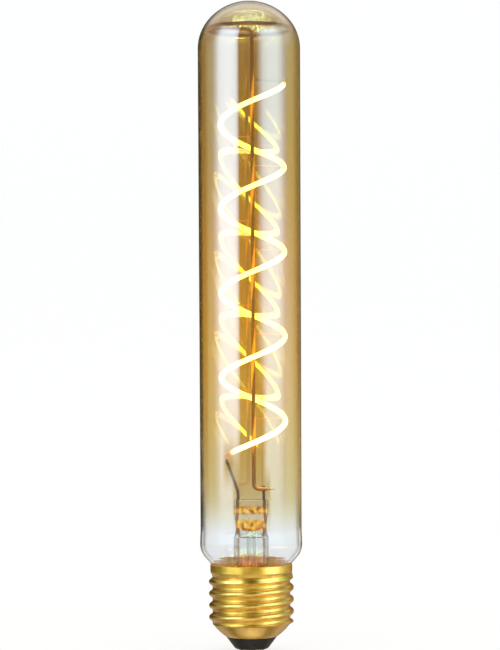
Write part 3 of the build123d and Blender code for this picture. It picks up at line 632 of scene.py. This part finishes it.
# the room that mirrors see: soft boxes, pale ceiling and floor, and dark between; each light has its share
# of full brightness by the angle from the camera's line, right of it positive, and by the angle above
# the level, in degrees
roomRadiance = 3.7
roomLights = {
    "leftBoxOuter": {
        "colour": "#d0eafb",
        "sides": (
            (-125, 0), (-112, 0.02), (-97, 0.06), (-89, 0.14), (-80, 0.42), (-73, 0.78), (-68, 0.88),
            (-58, 0),
        ),
        "heights": ((-4.6, 0), (-3.6, 0.8), (-1.5, 1), (36, 1), (49, 0)),
    },
    "leftBoxMiddle": {  # cut where the left lead would lose its brown
        "colour": "#d0eafb",
        "sides": ((-68, 0), (-58, 0.97), (-45, 1), (-36, 0)),
        "heights": (
            (-4.6, 0), (-3.6, 0.8), (-3.3, 0.85), (-3.05, 0), (-2.45, 0), (-2.05, 1), (36, 1), (49, 0),
        ),
    },
    "leftBoxInner": {
        "colour": "#d0eafb",
        "sides": ((-45, 0), (-36, 0.95), (-34, 0.92), (-30.5, 0.85), (-26, 0.5), (-22.5, 0)),
        "heights": ((-2.9, 0), (-2.6, 1), (36, 1), (49, 0)),
    },
    "rightBoxInner": {
        "colour": "#ceeefc",
        "sides": ((16, 0), (22, 0.21), (31, 0.6), (42, 0.75), (47, 0)),
        "heights": ((-0.9, 0), (0.3, 1), (36, 1), (49, 0)),
    },
    "rightBoxLow": {  # narrower low down, and cut for the right lead
        "colour": "#ceeefc",
        "sides": ((27, 0), (37, 0.65), (42, 0.75), (47, 0)),
        "heights": ((-3.4, 0), (-3.15, 1), (-0.9, 1), (0.3, 0)),
    },
    "rightBoxOuter": {
        "colour": "#ceeefc",
        "sides": ((42, 0), (47, 0.78), (64, 0.78), (75, 0.58), (87, 0.26), (95, 0)),
        "heights": ((-4.6, 0), (-3.6, 0.8), (-1.5, 1), (36, 1), (49, 0)),
    },
    "rightBoxEdge": {  # its soft end, dimmer half way up, where golden light takes its place
        "colour": "#ceeefc",
        "sides": ((87, 0), (95, 0.2), (100, 0.17), (115, 0.08), (135, 0)),
        "heights": (
            (-4.6, 0), (-3.6, 0.8), (-1.5, 1), (0.5, 1), (4.5, 0.4), (8, 0.45), (14, 1), (36, 1), (49, 0),
        ),
    },
    "rightGold": {  # golden light half way up
        "colour": "#b8b020",
        "sides": ((87, 0), (98, 0.3), (115, 0.28), (130, 0.06), (140, 0)),
        "heights": ((0.5, 0), (4.5, 0.6), (8, 0.55), (14, 0)),
    },
    "rightWall": {  # a pale green wall beyond the right box
        "colour": "#a0c490",
        "sides": ((82, 0), (94, 0.3), (112, 0.28), (130, 0.06), (140, 0)),
        "heights": ((-4.6, 0), (-4, 1), (-2, 1), (0, 0.6), (2, 0.28), (36, 0.28), (49, 0)),
    },
    "rightRim": {  # and a warm one beyond that
        "colour": "#f0cc84",
        "sides": ((126, 0), (144, 0.27), (156, 0.2), (168, 0)),
        "heights": ((-4.6, 0), (-4, 1), (-2, 0.8), (0, 0.45), (2, 0.38), (36, 0.36), (49, 0)),
    },
    "leftWall": {  # and a pale green one beyond the left box
        "colour": "#a8c890",
        "sides": ((-118, 0), (-106, 0.22), (-98, 0.22), (-84, 0.13), (-76, 0)),
        "heights": ((-4.6, 0), (-4, 1), (-1, 1), (1, 0.8), (4, 0.7), (8, 0.7), (14, 0)),
    },
    "frontPaper": {  # ceiling ahead of the lamp
        "colour": "#fbf6ea",
        "sides": ((-140, 0), (-105, 1), (105, 1), (140, 0)),
        "heights": ((-6, 0), (-4, 0.01), (42, 0.01), (58, 0.07), (90, 0.09)),
    },
    "frontFloor": {  # and the floor there
        "colour": "#fbf6ea",
        "sides": ((-110, 0.03), (-70, 0.6), (-45, 1), (60, 1), (110, 0.03)),
        "heights": ((-62, 0), (-50, 0.14), (-14, 0.14), (-6, 0)),
    },
    "floorBelow": {  # the floor straight below, all round
        "colour": "#fbf6ea",
        "sides": ((-180, 1), (180, 1)),
        "heights": ((-90, 0.27), (-74, 0.25), (-58, 0)),
    },
    "backPaper": {  # ceiling and floor behind the lamp
        "colour": "#fbf6ea",
        "sides": ((-140, 1), (-105, 0), (105, 0), (140, 1)),
        "heights": ((-62, 0), (-50, 0.06), (-40, 0.06), (-4, 0), (20, 0), (36, 0.2), (90, 0.2)),
    },
    "gloom": {  # the dim far end of the room
        "colour": "#4b3414",
        "sides": ((-150, 0.27), (-110, 0), (110, 0), (150, 0.27)),
        "heights": ((-90, 1), (90, 1)),
    },
    "fill": {  # low warm light that only the cap sees
        "colour": "#fff0d8",
        "sides": (
            (-170, 0.05), (-145, 0.08), (-100, 0.06), (-50, 0.08), (0, 0.2), (50, 0.13), (90, 0.12),
            (140, 0.08), (170, 0.05),
        ),
        "heights": ((-60, 0), (-40, 1), (-7, 1), (-5, 0)),
    },
    "card": {  # a white card low on the right, for the cap
        "colour": "#fbfff0",
        "sides": ((36, 0), (48, 1), (76, 0.9), (92, 0.16), (124, 0.1), (142, 0)),
        "heights": ((-16, 0), (-9, 1), (-5.4, 1), (-4.8, 0)),
    },
}


def mirrorRoom():
    world = bpy.data.worlds.new("mirrorRoom")
    world.use_nodes = True
    world.cycles.sampling_method = "NONE"  # seen in mirrors, and no lamp for the paper
    tree = world.node_tree
    way = addNode(tree, "ShaderNodeTexCoord").outputs["Generated"]
    axes = addNode(tree, "ShaderNodeSeparateXYZ", links={0: way})
    near = addNode(tree, "ShaderNodeMath", {"operation": "MULTIPLY", 1: -1.0}, {0: axes.outputs["Y"]})
    turn = addNode(tree, "ShaderNodeMath", {"operation": "ARCTAN2"}, {0: axes.outputs["X"], 1: near})
    rise = addNode(tree, "ShaderNodeMath", {"operation": "ARCSINE"}, {0: axes.outputs["Z"]})
    side = addNode(tree, "ShaderNodeMapRange", {"From Min": -math.pi, "From Max": math.pi},
                   {"Value": turn})
    height = addNode(tree, "ShaderNodeMapRange", {"From Min": -math.pi / 2, "From Max": math.pi / 2},
                     {"Value": rise})
    whole = None
    for light in roomLights.values():
        tone = linear(light["colour"])[:3]
        sides = []
        for angle, share in light["sides"]:
            sides.append((angle / fullTurn + 0.5, (*[c * share for c in tone], 1.0)))
        heights = [(angle / (fullTurn / 2) + 0.5, grey(share)) for angle, share in light["heights"]]
        across = addNode(tree, "ShaderNodeValToRGB", links={"Fac": side}, stops=sides)
        upright = addNode(tree, "ShaderNodeValToRGB", links={"Fac": height}, stops=heights)
        lit = addNode(tree, "ShaderNodeVectorMath", {"operation": "MULTIPLY"}, {0: across, 1: upright})
        if whole:
            lit = addNode(tree, "ShaderNodeVectorMath", {"operation": "ADD"}, {0: whole, 1: lit})
        whole = lit
    background = tree.nodes["Background"]
    tree.links.new(whole.outputs[0], background.inputs["Color"])
    background.inputs["Strength"].default_value = roomRadiance
    scene.world = world


mirrorRoom()

# one soft box above, for the paper and the dull parts
topBox = {
    "place": (0.0, -0.5, 1.3), "aim": (0.0, 0.0, 0.05), "size": 1.2,  # metres
    "power": 2.0, "colour": "#fffaf2",  # watts
}


def overheadBox():
    lamp = bpy.data.lights.new("topSoftBox", "AREA")
    lamp.size = topBox["size"]
    lamp.color = linear(topBox["colour"])[:3]
    lamp.energy = topBox["power"]
    box = bpy.data.objects.new("topSoftBox", lamp)
    box.location = topBox["place"]
    box.rotation_euler = (Vector(topBox["aim"]) - box.location).to_track_quat("-Z", "Y").to_euler()
    box.visible_camera = False
    box.visible_transmission = False
    box.visible_glossy = False
    scene.collection.objects.link(box)


overheadBox()
print("stage and lamps set")

# camera of the photograph: a long lens in front, a little under the middle of the lamp
cameraView = {
    "distance": 0.712, "height": 0.090, "aim": (-0.00005, 0.0, 0.1),  # metres
    "focalPixels": 2310.0, "imageHeight": 650.0, "sensor": 36.0,  # pixels, and the sensor in mm
    "roll": 0.27,  # degrees
}
camera = bpy.data.objects.new("camera", bpy.data.cameras.new("camera"))
camera.data.sensor_width = cameraView["sensor"]
camera.data.lens = cameraView["focalPixels"] / cameraView["imageHeight"] * cameraView["sensor"]
camera.data.clip_start = 10 * mm
camera.location = (0, -cameraView["distance"], cameraView["height"])
sight = (Vector(cameraView["aim"]) - camera.location).to_track_quat("-Z", "Y").to_matrix().to_4x4()
camera.rotation_euler = (sight @ Matrix.Rotation(math.radians(-cameraView["roll"]), 4, "Z")).to_euler()
scene.collection.objects.link(camera)
scene.camera = camera

# straight output, with enough bounces for glass inside glass
scene.view_settings.view_transform = "Standard"
scene.cycles.max_bounces = 24
scene.cycles.transmission_bounces = 24
scene.cycles.glossy_bounces = 12
scene.cycles.transparent_max_bounces = 16
scene.cycles.sample_clamp_indirect = 8.0
scene.cycles.use_denoising = True
print("camera placed")

# soft bloom that the lens puts round the lit strand, and not round the paper
lensBloom = {"threshold": 1.6, "strength": 0.06, "size": 0.2, "tint": "#ffe890"}
scene.use_nodes = True
finish = scene.node_tree
finish.nodes.clear()
layers = addNode(finish, "CompositorNodeRLayers")
bloom = addNode(finish, "CompositorNodeGlare", {
    "glare_type": "BLOOM", "quality": "HIGH", "Threshold": lensBloom["threshold"],
    "Strength": lensBloom["strength"], "Size": lensBloom["size"], "Tint": linear(lensBloom["tint"]),
}, {"Image": layers})
addNode(finish, "CompositorNodeComposite", links={"Image": bloom})
print("bloom set")
